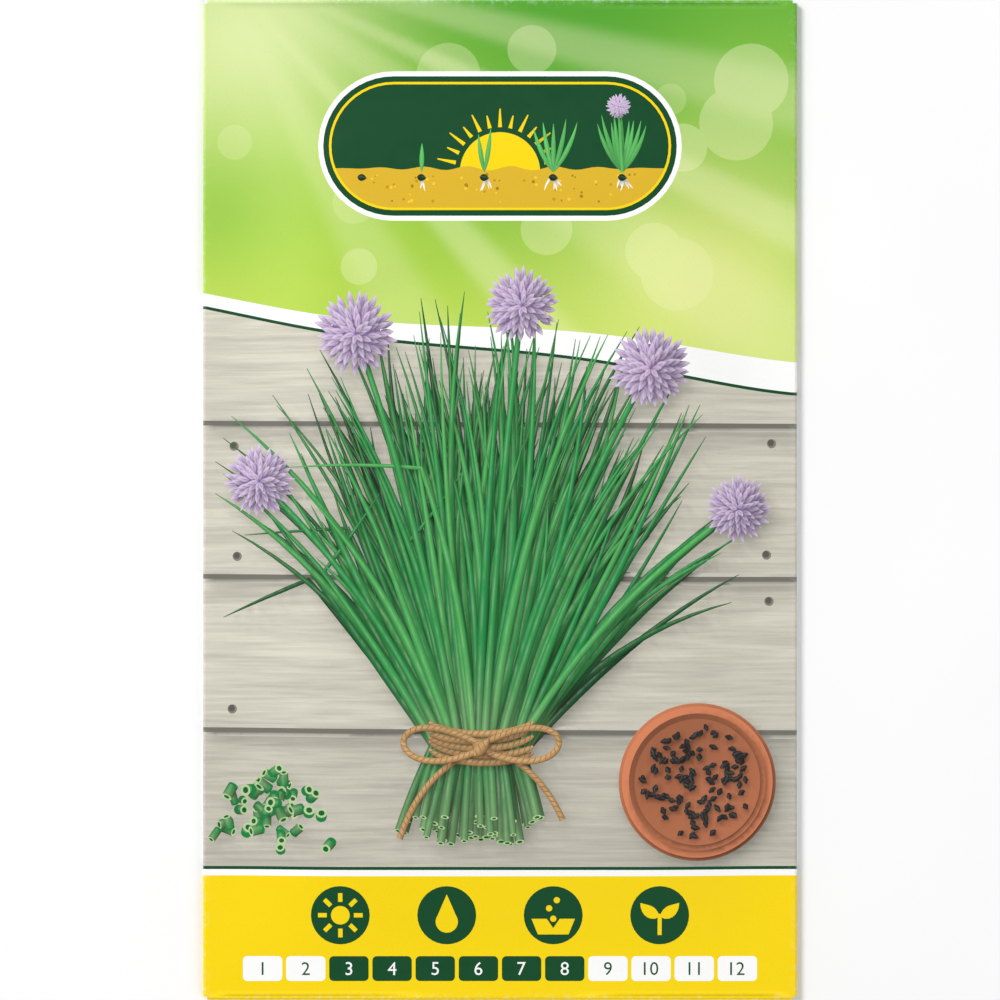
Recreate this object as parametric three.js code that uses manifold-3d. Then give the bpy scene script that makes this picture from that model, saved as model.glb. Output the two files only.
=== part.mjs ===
// A paper seed packet, lying on its back. Millimetres, +Z up.
// The printed front faces +Z and the packet's top end points along +Y. The origin is on the
// surface that it lies on, under the middle of the packet.
//
// One sheet of paper makes the whole envelope: its two side panels fold behind the front and are
// glued over each other in a seam down the back, and its two end flaps fold over them and are
// glued down. Inside lies a flat sachet of two webs, sealed round its rim, that holds the seeds.
import * as THREE from "three";
import { ConvexGeometry } from "three/addons/geometries/ConvexGeometry.js";
import { mergeVertices } from "three/addons/utils/BufferGeometryUtils.js";
import Module from "manifold-3d";

// Driving dimensions
const PACKET_WIDTH = 95;
const PACKET_HEIGHT = 160;
const PAPER = 0.14;
const GLUE = 0.1;
const CLEARANCE = 0.01; // between glue and paper
const SIDE_FOLD_RADIUS = 0.42; // of the middle of the paper
const TOP_FLAP = 18;
const BOTTOM_FLAP = 14;
const FLAP_TAPER = 0.0022; // share of a flap's width lost per millimetre away from its fold
const CORNER_NOTCH = 0.7; // cut from each end of a flap, so that it clears the side folds
const SEAM_HALF_WIDTH = 6;
const SWELL = 2.2; // how far the front stands above its own edges over the sachet
const SWELL_CENTRE_Y = -6; // the seeds settle a little towards the bottom end

const SACHET_WIDTH = 64;
const SACHET_HEIGHT = 92;
const SACHET_RIM = 7; // width of the heat seal
const FILM = 0.1;
const FILM_GAP = 0.02; // between the two webs where they are sealed
const SACHET_DOME = 2.1;

const SEED_LENGTH = 2.8;
const SEED_WIDTH = 1.9;
const SEED_DEPTH = 1.4;
const SEED_PITCH = 1.9;
const SEED_CLEARANCE = 0.08;
const BED_WIDTH = 26;
const BED_HEIGHT = 30;
const BED_CENTRE_Y = -12;

// Heights of the paper's middle in each layer, from the surface upwards
const LAYER_STEP = PAPER + GLUE + 2 * CLEARANCE;
const FLAP_MIDDLE = PAPER / 2;
const BACK_MIDDLE = FLAP_MIDDLE + LAYER_STEP;
const SEAM_MIDDLE = BACK_MIDDLE + LAYER_STEP;
const FRONT_EDGE_MIDDLE = BACK_MIDDLE + 2 * SIDE_FOLD_RADIUS;
const END_FOLD_RADIUS = (FRONT_EDGE_MIDDLE - FLAP_MIDDLE) / 2;

// Where the front panel ends and its folds begin
const FOLD_X = PACKET_WIDTH / 2 - SIDE_FOLD_RADIUS - PAPER / 2;
const FOLD_Y = PACKET_HEIGHT / 2 - END_FOLD_RADIUS - PAPER / 2;
const FLAP_X = PACKET_WIDTH / 2 - CORNER_NOTCH;

// 0 at s = 0 and 1 from s = 1 on, level at both ends.
function rise(s) {
  const t = Math.min(Math.max(s, 0), 1);
  return t * t * t * (t * (6 * t - 15) + 10);
}

// A list of count + 1 numbers from first to last, both included.
function spaced(first, last, count) {
  return Array.from({ length: count + 1 }, (_, i) => first + ((last - first) * i) / count);
}

// A closed sheet of even thickness. place(column, row) gives its middle surface as a Vector3, and
// isPaper(i, j) says whether the cell between columns i, i + 1 and rows j, j + 1 is there.
function sheet(columns, rows, place, thickness, isPaper = () => true) {
  const middle = columns.map((column) => rows.map((row) => place(column, row)));
  const normals = columns.map(() => rows.map(() => new THREE.Vector3()));
  const cells = [];
  for (let i = 0; i + 1 < columns.length; i++)
    for (let j = 0; j + 1 < rows.length; j++)
      if (isPaper(i, j)) cells.push([i, j]);
  for (const [i, j] of cells) {
    const across = new THREE.Vector3().subVectors(middle[i + 1][j + 1], middle[i][j]);
    const other = new THREE.Vector3().subVectors(middle[i][j + 1], middle[i + 1][j]);
    const normal = across.cross(other).normalize();
    for (const [a, b] of [[i, j], [i + 1, j], [i + 1, j + 1], [i, j + 1]])
      normals[a][b].add(normal);
  }

  const positions = [];
  const corner = (i, j, side) =>
    middle[i][j].clone().addScaledVector(normals[i][j].clone().normalize(), (side * thickness) / 2);
  const triangle = (a, b, c) => positions.push(...a, ...b, ...c);
  const quad = (a, b, c, d) => {
    triangle(a, b, c);
    triangle(a, c, d);
  };
  const there = new Set(cells.map(([i, j]) => `${i} ${j}`));
  const rim = (i, j, k, l) => quad(corner(i, j, -1), corner(k, l, -1), corner(k, l, 1), corner(i, j, 1));
  for (const [i, j] of cells) {
    quad(corner(i, j, 1), corner(i + 1, j, 1), corner(i + 1, j + 1, 1), corner(i, j + 1, 1));
    quad(corner(i, j, -1), corner(i, j + 1, -1), corner(i + 1, j + 1, -1), corner(i + 1, j, -1));
    if (!there.has(`${i} ${j - 1}`)) rim(i, j, i + 1, j);
    if (!there.has(`${i + 1} ${j}`)) rim(i + 1, j, i + 1, j + 1);
    if (!there.has(`${i} ${j + 1}`)) rim(i + 1, j + 1, i, j + 1);
    if (!there.has(`${i - 1} ${j}`)) rim(i, j + 1, i, j);
  }
  const geometry = new THREE.BufferGeometry();
  geometry.setAttribute("position", new THREE.Float32BufferAttribute(positions, 3));
  return geometry;
}

// Height of the front panel's middle: level at its edges, and swollen over the sachet.
function frontMiddle(x, y) {
  const shoulderX = 25;
  const fromSide = rise((FOLD_X - Math.abs(x)) / shoulderX);
  const shoulderTop = 38;
  const shoulderBottom = 30;
  const along = y > SWELL_CENTRE_Y ? (FOLD_Y - y) / shoulderTop : (y + FOLD_Y) / shoulderBottom;
  const crown = 1 - 0.08 * (x / FOLD_X) ** 2 - 0.08 * ((y - SWELL_CENTRE_Y) / FOLD_Y) ** 2;
  return FRONT_EDGE_MIDDLE + SWELL * fromSide * rise(along) * crown;
}

// The whole envelope as one folded sheet. Columns run across the flat sheet, from the left side
// panel's free edge to the right one's, and rows run along it, from the bottom flap to the top.
function envelopeGeometry() {
  const foldSteps = 4;
  const turns = spaced(0, Math.PI, foldSteps).slice(1);
  const stepStart = -SEAM_HALF_WIDTH - 4.4;
  const stepEnd = -SEAM_HALF_WIDTH - 0.8;
  const leftPanel = [
    { x: SEAM_HALF_WIDTH, z: SEAM_MIDDLE },
    { x: stepEnd, z: SEAM_MIDDLE },
    { x: (stepStart + stepEnd) / 2, z: (SEAM_MIDDLE + BACK_MIDDLE) / 2 },
    { x: stepStart, z: BACK_MIDDLE },
    { x: -FOLD_X / 2, z: BACK_MIDDLE },
  ];
  const rightPanel = [
    { x: FOLD_X / 2, z: BACK_MIDDLE },
    { x: -SEAM_HALF_WIDTH, z: BACK_MIDDLE },
  ];
  const sideFold = (side) => (turn) => ({
    x: side * (FOLD_X + SIDE_FOLD_RADIUS * Math.sin(turn)),
    z: BACK_MIDDLE + SIDE_FOLD_RADIUS * (1 + Math.cos(turn)),
  });
  const panelColumns = 18;
  const front = [-FOLD_X, ...spaced(-FLAP_X, FLAP_X, panelColumns), FOLD_X].map((x) => ({ x, front: true }));
  const columns = [
    ...leftPanel,
    ...turns.map(sideFold(-1)).reverse(),
    ...front,
    ...turns.map(sideFold(1)),
    ...rightPanel,
  ];

  const panelRows = 30;
  const endFold = (end) => (turn) => ({
    y: end * (FOLD_Y + END_FOLD_RADIUS * Math.sin(turn)),
    z: FLAP_MIDDLE + END_FOLD_RADIUS * (1 + Math.cos(turn)),
    inward: 0,
  });
  const flapEdge = (end, length) => ({ y: end * (FOLD_Y - length), z: FLAP_MIDDLE, inward: length });
  const rows = [
    flapEdge(-1, BOTTOM_FLAP),
    ...turns.map(endFold(-1)).reverse(),
    ...spaced(-FOLD_Y, FOLD_Y, panelRows).map((y) => ({ y, front: true })),
    ...turns.map(endFold(1)),
    flapEdge(1, TOP_FLAP),
  ];

  const place = (column, row) => {
    if (!row.front)
      return new THREE.Vector3(column.x * (1 - FLAP_TAPER * row.inward), row.y, row.z);
    const z = column.front ? frontMiddle(column.x, row.y) : column.z;
    return new THREE.Vector3(column.x, row.y, z);
  };
  const flapColumn = (column) => column.front && Math.abs(column.x) <= FLAP_X;
  const isPaper = (i, j) => {
    const inPanelRows = rows[j].front && rows[j + 1].front;
    return inPanelRows || (flapColumn(columns[i]) && flapColumn(columns[i + 1]));
  };
  return sheet(columns, rows, place, PAPER, isPaper);
}

// A flat strip of adhesive: the outline of a closed shape, GLUE thick, standing on height z.
function glueGeometry(outline, z) {
  const shape = new THREE.Shape(outline.map(([x, y]) => new THREE.Vector2(x, y)));
  const geometry = new THREE.ExtrudeGeometry(shape, { depth: GLUE, bevelEnabled: false });
  return geometry.translate(0, 0, z);
}

function seamGlueGeometry() {
  const halfWidth = SEAM_HALF_WIDTH - 1.2;
  const halfLength = FOLD_Y - 1.5;
  const outline = [
    [-halfWidth, -halfLength],
    [halfWidth, -halfLength],
    [halfWidth, halfLength],
    [-halfWidth, halfLength],
  ];
  return glueGeometry(outline, BACK_MIDDLE + PAPER / 2 + CLEARANCE);
}

// The strip stays 2.5 mm inside the flap's fold, free edge and sides.
function flapGlueGeometry(end, length) {
  const margin = 2.5;
  const halfWidthAt = (inward) => FLAP_X * (1 - FLAP_TAPER * inward) - margin;
  const near = margin;
  const far = length - margin;
  const outline = [
    [-halfWidthAt(near), end * (FOLD_Y - near)],
    [halfWidthAt(near), end * (FOLD_Y - near)],
    [halfWidthAt(far), end * (FOLD_Y - far)],
    [-halfWidthAt(far), end * (FOLD_Y - far)],
  ];
  return glueGeometry(end > 0 ? outline.reverse() : outline, PAPER + CLEARANCE);
}

const SACHET_UNDERSIDE = SEAM_MIDDLE + PAPER / 2 + 0.06;
const BACK_WEB_TOP = SACHET_UNDERSIDE + FILM;

// How far the front web's middle stands above its own sealed rim.
function sachetDome(x, y) {
  const shoulder = 9;
  const fromSide = rise((SACHET_WIDTH / 2 - SACHET_RIM - Math.abs(x)) / shoulder);
  const fromEnd = rise((SACHET_HEIGHT / 2 - SACHET_RIM - Math.abs(y - SWELL_CENTRE_Y)) / shoulder);
  return SACHET_DOME * fromSide * fromEnd;
}

function webGeometry(across, along, heightAt) {
  const columns = spaced(-SACHET_WIDTH / 2, SACHET_WIDTH / 2, across);
  const rows = spaced(-SACHET_HEIGHT / 2, SACHET_HEIGHT / 2, along);
  const place = (x, row) => {
    const y = SWELL_CENTRE_Y + row;
    return new THREE.Vector3(x, y, heightAt(x, y));
  };
  return sheet(columns, rows, place, FILM);
}

function backWebGeometry() {
  return webGeometry(1, 1, () => SACHET_UNDERSIDE + FILM / 2);
}

function frontWebGeometry() {
  const rimMiddle = BACK_WEB_TOP + FILM_GAP + FILM / 2;
  return webGeometry(20, 26, (x, y) => rimMiddle + sachetDome(x, y));
}

// The same numbers from 0 to 1 on every run.
function randomNumbers(seed) {
  let state = seed;
  return () => {
    state = (Math.imul(state, 1664525) + 1013904223) >>> 0;
    return state / 2 ** 32;
  };
}

// One angular seed about the origin: flat on one side, with two slanting faces on the other.
function seedPoints(random) {
  const length = SEED_LENGTH * (0.85 + 0.3 * random());
  const width = SEED_WIDTH * (0.85 + 0.3 * random());
  const depth = SEED_DEPTH * (0.85 + 0.3 * random());
  return [
    [-0.5, 0, -0.1],
    [-0.25, -0.45, -0.4],
    [-0.2, 0.45, -0.45],
    [0.3, -0.5, -0.35],
    [0.25, 0.4, -0.4],
    [0.5, 0.05, -0.15],
    [-0.2, -0.05, 0.4],
    [0.25, 0.02, 0.5],
  ].map(([x, y, z]) => new THREE.Vector3(x * length, y * width, z * depth));
}

function solidOf(wasm, geometry) {
  geometry.deleteAttribute("normal");
  geometry.deleteAttribute("uv");
  const merged = mergeVertices(geometry, 1e-4);
  return new wasm.Manifold(
    new wasm.Mesh({
      numProp: 3,
      vertProperties: new Float32Array(merged.attributes.position.array),
      triVerts: new Uint32Array(merged.index.array),
    }),
  );
}

function geometryOf(solid) {
  const { vertProperties, triVerts } = solid.getMesh();
  const geometry = new THREE.BufferGeometry();
  geometry.setAttribute("position", new THREE.BufferAttribute(vertProperties, 3));
  geometry.setIndex(new THREE.BufferAttribute(triVerts, 1));
  return geometry;
}

// An oval bed of seeds that lean on each other, joined in one body where they touch.
function seedBedGeometry(wasm) {
  const random = randomNumbers(41);
  const floor = BACK_WEB_TOP + SEED_CLEARANCE;
  const spread = 0.3 * SEED_PITCH;
  const halfCount = Math.floor(BED_WIDTH / 2 / SEED_PITCH);
  const seeds = [];
  for (let i = -halfCount; i <= halfCount; i++) {
    const x = i * SEED_PITCH;
    const reach = (BED_HEIGHT / 2) * Math.sqrt(1 - (2 * x / BED_WIDTH) ** 2);
    const halfRow = Math.floor(reach / SEED_PITCH);
    for (let j = -halfRow; j <= halfRow; j++) {
      const turn = new THREE.Euler(0.7 * (random() - 0.5), 0.5 * (random() - 0.5), 2 * Math.PI * random());
      const points = seedPoints(random).map((point) => point.applyEuler(turn));
      const lowest = Math.min(...points.map((point) => point.z));
      const shiftX = spread * (random() - 0.5);
      const y = BED_CENTRE_Y + j * SEED_PITCH + spread * (random() - 0.5);
      const centre = new THREE.Vector3(x + shiftX, y, floor - lowest);
      points.forEach((point) => point.add(centre));
      seeds.push(solidOf(wasm, new ConvexGeometry(points)));
    }
  }
  const clusters = wasm.Manifold.union(seeds).decompose();
  return geometryOf(clusters.sort((a, b) => b.volume() - a.volume())[0]);
}

function material(colour, roughness, metalness = 0) {
  return new THREE.MeshStandardMaterial({ color: colour, roughness, metalness });
}

function piece(name, geometry, look) {
  const mesh = new THREE.Mesh(geometry, look);
  mesh.name = name;
  return mesh;
}

const wasm = await Module();
wasm.setup();

const printedPaper = material(0x8cb83c, 0.45);
const adhesive = material(0xe6dfcb, 0.5);
const foilLaminate = material(0xc9ccce, 0.35, 0.6);
const seedCoat = material(0x1c1a19, 0.8);

const packet = new THREE.Group();
packet.name = "seed_packet";
packet.add(
  piece("paper_envelope", envelopeGeometry(), printedPaper),
  piece("back_seam_glue", seamGlueGeometry(), adhesive),
  piece("top_flap_glue", flapGlueGeometry(1, TOP_FLAP), adhesive),
  piece("bottom_flap_glue", flapGlueGeometry(-1, BOTTOM_FLAP), adhesive),
  piece("sachet_back_web", backWebGeometry(), foilLaminate),
  piece("sachet_front_web", frontWebGeometry(), foilLaminate),
  piece("seeds", seedBedGeometry(wasm), seedCoat),
);

export default packet;
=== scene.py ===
"""Looks for a paper seed packet, on the frame of its CAD part. Metres, +Z up.

The envelope is one sheet of paper, printed on one side. Its print is laid out on the flat sheet in
millimetres, as shapes that cover each other in the order they are drawn, and is cut into a single
layer of triangles. The sheet is then folded into the packet, the way the CAD part folds it.
"""
import math
import random

import bpy
import numpy as np
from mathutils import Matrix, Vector
from mathutils.bvhtree import BVHTree
from mathutils.geometry import delaunay_2d_cdt


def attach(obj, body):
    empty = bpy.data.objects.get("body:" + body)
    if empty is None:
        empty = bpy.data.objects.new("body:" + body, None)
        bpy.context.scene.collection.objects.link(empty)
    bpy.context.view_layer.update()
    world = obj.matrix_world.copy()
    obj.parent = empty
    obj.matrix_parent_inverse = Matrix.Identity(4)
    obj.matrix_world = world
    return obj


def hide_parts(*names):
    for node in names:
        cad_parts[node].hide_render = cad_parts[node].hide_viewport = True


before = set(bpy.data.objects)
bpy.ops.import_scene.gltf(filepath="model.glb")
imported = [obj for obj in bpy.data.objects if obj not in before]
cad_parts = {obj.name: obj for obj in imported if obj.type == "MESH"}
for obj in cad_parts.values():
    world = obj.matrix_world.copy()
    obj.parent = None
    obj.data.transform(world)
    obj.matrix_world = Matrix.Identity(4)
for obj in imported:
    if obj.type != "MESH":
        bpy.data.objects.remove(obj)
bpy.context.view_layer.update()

MM = 0.001

# Sizes of the packet in millimetres, as in the CAD part
WIDTH = 95.0
HEIGHT = 160.0
PAPER = 0.14
LAYER_STEP = PAPER + 0.12  # paper and the glue on it
SIDE_RADIUS = 0.42
TOP_FLAP = 18.0
BOTTOM_FLAP = 14.0
FLAP_TAPER = 0.0022
NOTCH = 0.7
SEAM_HALF = 6.0
SWELL = 2.2
SWELL_Y = -6.0
SLOPE_SIDE, SLOPE_TOP, SLOPE_BOTTOM = 25.0, 38.0, 30.0  # how far in the swelling is full
SACHET_X, SACHET_Y, SACHET_STEP = 36.0, 50.0, 0.10  # half size of the sachet's step, and its height
FLUTES = 0.07
FLAP_LEVEL = PAPER / 2
BACK_LEVEL = FLAP_LEVEL + LAYER_STEP
FRONT_LEVEL = BACK_LEVEL + 2 * SIDE_RADIUS
END_RADIUS = (FRONT_LEVEL - FLAP_LEVEL) / 2
FOLD_X = WIDTH / 2 - SIDE_RADIUS - PAPER / 2
FOLD_Y = HEIGHT / 2 - END_RADIUS - PAPER / 2
FLAP_X = WIDTH / 2 - NOTCH
STEP_START = -SEAM_HALF - 4.4
STEP_END = -SEAM_HALF - 0.8

# Centre, reach along and across, turn in degrees and height of each dent
DENTS = (
    (-22, 31, 20, 3.0, 24, -0.10),
    (26, 44, 16, 2.4, -38, 0.07),
    (33, -34, 14, 2.2, 61, -0.08),
    (-31, -46, 17, 2.6, -33, 0.07),
    (5, 62, 26, 2.8, 4, -0.06),
    (-6, -66, 24, 2.2, -5, 0.05),
    (-38, 4, 2.4, 15, 6, -0.06),
    (38, 12, 2.2, 18, -5, -0.05),
)

# The flat sheet: u runs across it and v along it, both 0 in the middle of the front
SIDE_ARC = math.pi * SIDE_RADIUS
END_ARC = math.pi * END_RADIUS
BACK_U = FOLD_X + SIDE_ARC  # where the back starts
SHEET_U = BACK_U + FOLD_X + SEAM_HALF
SHEET_TOP = FOLD_Y + END_ARC + TOP_FLAP
SHEET_BOTTOM = -(FOLD_Y + END_ARC + BOTTOM_FLAP)

# Half size and middle of the square of the flat sheet's plane that the UV map shows
MAP_HALF = 104.0
MAP_MIDDLE = (0.0, 2.0)
LONGEST_EDGE = 2.2  # longer ones are split, so that the sheet can bend

# The studio, in metres
FLOOR_HALF = 3.0
FLOOR_GAP = 0.00005
EDGE_LEVEL = 0.7  # of the packet's outline above the floor, in millimetres

# The print
WAVE_LEFT, WAVE_RIGHT = 33.0, 22.0  # lower edge of the green header at the front's two sides
BACK_HEADER = 50.0
HEADER_DISCS = 13
FOOTER = -60.0
BOARD_GAPS = (-37.0, -12.5, 12.0)
NAILS = ((-42.5, 8.6), (-42.0, -9.0), (-42.8, -33.4), (43.4, 9.0), (42.6, -8.8), (43.0, -16.2))
TO_LIGHT = np.array([-0.62, 0.78])  # in the picture

# The bar: its middle, half its straight part, the radius of its ends, its rim and the level of its
# soil. Then the place along it, number of leaves and height of each stage of growth.
BAR_MIDDLE = (0.0, 56.5)
BAR_HALF = 17.0
BAR_RADIUS = 12.0
BAR_RIM = 2.1
SOIL_LEVEL = -3.6
CRUMBS = 70
STAGES = ((-22, 0, 0), (-12.5, 1, 5.5), (-2.5, 2, 7.5), (8.5, 5, 9), (19.5, 9, 10))

# The bunch
TIE = (-3.0, -39.0)
CORE_LEAVES = 70
OUTER_LEAVES = 300
LOWER_STEMS = 64
STEM_STEPS = 12
SNAPPED_EVERY = 37
LEAF_LIMITS = ((-45.5, -99.0), (45.5, 39.0))

# Foot on the tie, head and size of each flower
FLOWERS = (
    (-6.0, (-38.5, 3.0), 5.4),
    (-3.5, (-23.0, 26.5), 6.4),
    (0.5, (3.5, 31.0), 5.8),
    (3.0, (24.0, 21.0), 6.3),
    (6.0, (38.0, -1.5), 5.2),
)

# Each ring of petals in a flower: how far out it starts, how many, their length and half width
PETAL_RINGS = (
    (0.56, 26, 0.46, 0.56), (0.42, 21, 0.42, 0.56), (0.27, 16, 0.38, 0.52),
    (0.13, 10, 0.34, 0.50), (0.02, 6, 0.28, 0.44),
)

# Number and middle of the chopped pieces, and the corners of what they keep to
CHOPPED_PIECES = 46
CHOPPED = (-35.5, -49.0)
CHOPPED_LIMITS = ((-45.0, -57.5), (-23.0, -40.5))

# Middle and radius of the saucer, and its number of seeds. Then the share of its radius, slant to
# the light and shade of each of its rings.
SAUCER = (31.5, -45.0, 12.6)
SAUCER_SEEDS = 130
SAUCER_RINGS = ((1.0, 0.30, 0.85), (0.96, 0.08, 1.25), (0.87, -0.32, 0.72), (0.80, -0.12, 0.80))

SOWING_MONTHS = range(3, 9)


def linear(r, g, b):
    """Linear colour of one that is given as a screen shows it."""
    c = np.array([r, g, b], float)
    return np.where(c <= 0.04045, c / 12.92, ((c + 0.055) / 1.055) ** 2.4)


INK_GREEN = linear(0.02, 0.28, 0.14)
LEAF_DARK = linear(0.01, 0.22, 0.11)
LEAF_GREEN = linear(0.10, 0.55, 0.27)
LEAF_LIGHT = linear(0.34, 0.72, 0.36)
LEAF_PALE = linear(0.80, 0.88, 0.66)
YELLOW = linear(0.97, 0.84, 0.0)
WHITE = linear(0.98, 0.98, 0.975)
LIME = linear(0.78, 0.87, 0.36)
GRASS = linear(0.36, 0.67, 0.18)
SUNLIGHT = linear(1, 1, 0.8)
BOARD = linear(0.84, 0.83, 0.78)
BOARD_GAP = linear(0.45, 0.44, 0.40)
TWINE = linear(0.80, 0.62, 0.40)
CLAY = linear(0.74, 0.45, 0.31)
SEED = linear(0.13, 0.12, 0.12)
SOIL = linear(0.86, 0.70, 0.16)
PETAL = linear(0.86, 0.78, 0.90)
PETAL_DEEP = linear(0.62, 0.48, 0.72)
BOX_GREEN = linear(0.87, 0.93, 0.74)
BARE_PAPER = (0.83, 0.82, 0.78)

# Direction and width in degrees, and strength, of each beam from beyond the header's left corner
BEAMS = ((-14, 5, 0.20), (-25, 3.4, 0.24), (-34, 7, 0.17), (-48, 4.4, 0.24), (-61, 8, 0.16))

# Place, radius, colour and strength of each soft patch in the header
PATCHES = (
    (-40, 74, 20, (0.93, 0.96, 0.72), 0.75),
    (-20, 40, 22, (0.62, 0.80, 0.24), 0.6),
    (12, 76, 24, (0.30, 0.62, 0.17), 0.8),
    (44, 60, 18, (0.55, 0.76, 0.28), 0.8),
    (34, 34, 20, (0.90, 0.93, 0.55), 0.8),
    (-46, 46, 12, (0.50, 0.75, 0.22), 0.6),
    (0, 55, 16, (0.44, 0.72, 0.20), 0.5),
)


def rise(s):
    """0 at s = 0 and 1 from s = 1 on, level at both ends."""
    t = np.clip(s, 0, 1)
    return t * t * t * (t * (6 * t - 15) + 10)


def unit(v):
    return v / np.maximum(np.linalg.norm(v, axis=-1, keepdims=True), 1e-12)


def heading(a):
    """The direction at an angle in radians."""
    return np.array([math.cos(a), math.sin(a)])


def left_of(v):
    """A direction, or each row of them, turned a quarter turn to the left."""
    return np.stack([-v[..., 1], v[..., 0]], axis=-1)


def blend(a, b, share):
    """Between a and b, with this share of b."""
    return a * (1 - share) + b * share


# Folding


def swell(x, y):
    """How far the front stands above its own edges, in mm, with its soft dents."""
    shoulder = np.where(y > SWELL_Y, (FOLD_Y - y) / SLOPE_TOP, (y + FOLD_Y) / SLOPE_BOTTOM)
    crown = 1 - 0.08 * (x / FOLD_X) ** 2 - 0.08 * ((y - SWELL_Y) / FOLD_Y) ** 2
    from_side = FOLD_X - np.abs(x)
    height = SWELL * rise(from_side / SLOPE_SIDE) * rise(shoulder) * crown
    # the paper pulls into shallow flutes where the swelling runs out towards the sides
    flutes = np.sin(y * 0.33 + 0.5 * np.sin(y * 0.09)) * np.sin(y * 0.071 + 1.0 + 0.4 * np.sign(x))
    height += FLUTES * flutes * rise(from_side / 7) * rise((38 - from_side) / 22)
    # the sealed rim of the sachet shows through as a soft step
    rim = rise((SACHET_X - np.abs(x)) / 8) * rise((SACHET_Y - np.abs(y - SWELL_Y)) / 8)
    height += SACHET_STEP * rim
    # soft dents from handling
    for cx, cy, wide, tall, turn, deep in DENTS:
        a = math.radians(turn)
        p = (x - cx) * math.cos(a) + (y - cy) * math.sin(a)
        q = (y - cy) * math.cos(a) - (x - cx) * math.sin(a)
        height += deep * np.exp(-((p / wide) ** 2) - (q / tall) ** 2) * rise(from_side / 4)
    return height


def fold(uv):
    """Where places (u, v) on the flat sheet come to lie: the middle of the paper, in mm."""
    u, v = uv[:, 0], uv[:, 1]
    over_side = np.abs(u) - FOLD_X
    turn = np.clip(over_side / SIDE_RADIUS, 0, math.pi)
    inward = np.maximum(over_side - SIDE_ARC, 0)
    x = np.sign(u) * (np.minimum(np.abs(u), FOLD_X) + SIDE_RADIUS * np.sin(turn) - inward)
    z = FRONT_LEVEL - SIDE_RADIUS * (1 - np.cos(turn))
    climbs = (u < 0) & (inward > 0)
    z = z + LAYER_STEP * climbs * rise((x - STEP_START) / (STEP_END - STEP_START))
    over_end = np.abs(v) - FOLD_Y
    end_turn = np.clip(over_end / END_RADIUS, 0, math.pi)
    flap = np.maximum(over_end - END_ARC, 0)
    y = np.sign(v) * (np.minimum(np.abs(v), FOLD_Y) + END_RADIUS * np.sin(end_turn) - flap)
    z = z - END_RADIUS * (1 - np.cos(end_turn))
    x = x * (1 - FLAP_TAPER * flap)
    front = (over_side < 0) & (over_end < 0)
    return np.stack([x, y, z + np.where(front, swell(x, y), 0)], axis=1)


def fold_normals(uv):
    """The printed side's direction at those places."""
    e = 0.004
    across = fold(uv + (e, 0)) - fold(uv - (e, 0))
    along = fold(uv + (0, e)) - fold(uv - (0, e))
    return unit(np.cross(across, along))


def spaced(first, last, step):
    return np.linspace(first, last, max(1, math.ceil(abs(last - first) / step)) + 1)


def sheet_outline():
    """The flat sheet's outline: a wide body with a flap at each end."""
    right = [
        (FLAP_X, SHEET_BOTTOM), (FLAP_X, -FOLD_Y), (SHEET_U, -FOLD_Y),
        (SHEET_U, FOLD_Y), (FLAP_X, FOLD_Y), (FLAP_X, SHEET_TOP),
    ]
    return right + [(-u, v) for u, v in right[::-1]]


def across_fold(start, arc):
    """Where the lines along a fold lie, across it."""
    return start + arc * np.arange(9) / 8


def fold_lines():
    """Straight lines across the flat sheet that keep triangles from bridging a fold."""
    us = across_fold(FOLD_X, SIDE_ARC)
    vs = across_fold(FOLD_Y, END_ARC)
    seam = 2 * FOLD_X + SIDE_ARC + np.linspace(STEP_START, STEP_END, 7)
    lines = [[(u, -FOLD_Y), (u, FOLD_Y)] for u in (*us, *-us, *-seam)]
    return lines + [[(-FLAP_X, v), (FLAP_X, v)] for v in (*vs, *-vs)]


def lattice(front_step, back_step):
    """Points inside the flat sheet, closer on the front than on what folds behind it."""
    rows = spaced(-FOLD_Y, FOLD_Y, front_step)[1:-1]
    back_rows = spaced(-FOLD_Y, FOLD_Y, back_step)[1:-1]
    points = [(u, v) for u in spaced(-FOLD_X, FOLD_X, front_step) for v in rows]
    for sign, flap_end in ((-1, -SHEET_BOTTOM), (1, SHEET_TOP)):
        back = spaced(BACK_U, SHEET_U, back_step)[:-1]
        flap = spaced(FOLD_Y + END_ARC, flap_end, back_step)[1:-1]
        points += [(sign * u, v) for u in across_fold(FOLD_X, SIDE_ARC)[1:-1] for v in rows]
        points += [(sign * u, v) for u in back for v in back_rows]
        for vs, step in ((across_fold(FOLD_Y, END_ARC), front_step), (flap, back_step)):
            points += [(u, sign * v) for v in vs for u in spaced(-FLAP_X, FLAP_X, step)[1:-1]]
    return points


# Paints. Each gives a linear colour for places on the flat sheet, how far to the left they lie in a
# round form (-1 to 1), how much its left side faces the light, and how round it looks.


class Flat:
    """One colour."""

    raised = False
    grain = 0.0

    def __init__(self, colour):
        self.colour = np.asarray(colour, float)

    def at(self, p):
        return np.tile(self.colour, (len(p), 1)), 0.0, 0.0, 0.0


class Field(Flat):
    """A colour that changes softly from place to place."""

    def __init__(self, function, grain=0.0, raised=False):
        self.function = function
        self.grain = grain
        self.raised = raised

    def at(self, p):
        return self.function(p), 0.0, 0.0, 0.0


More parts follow.
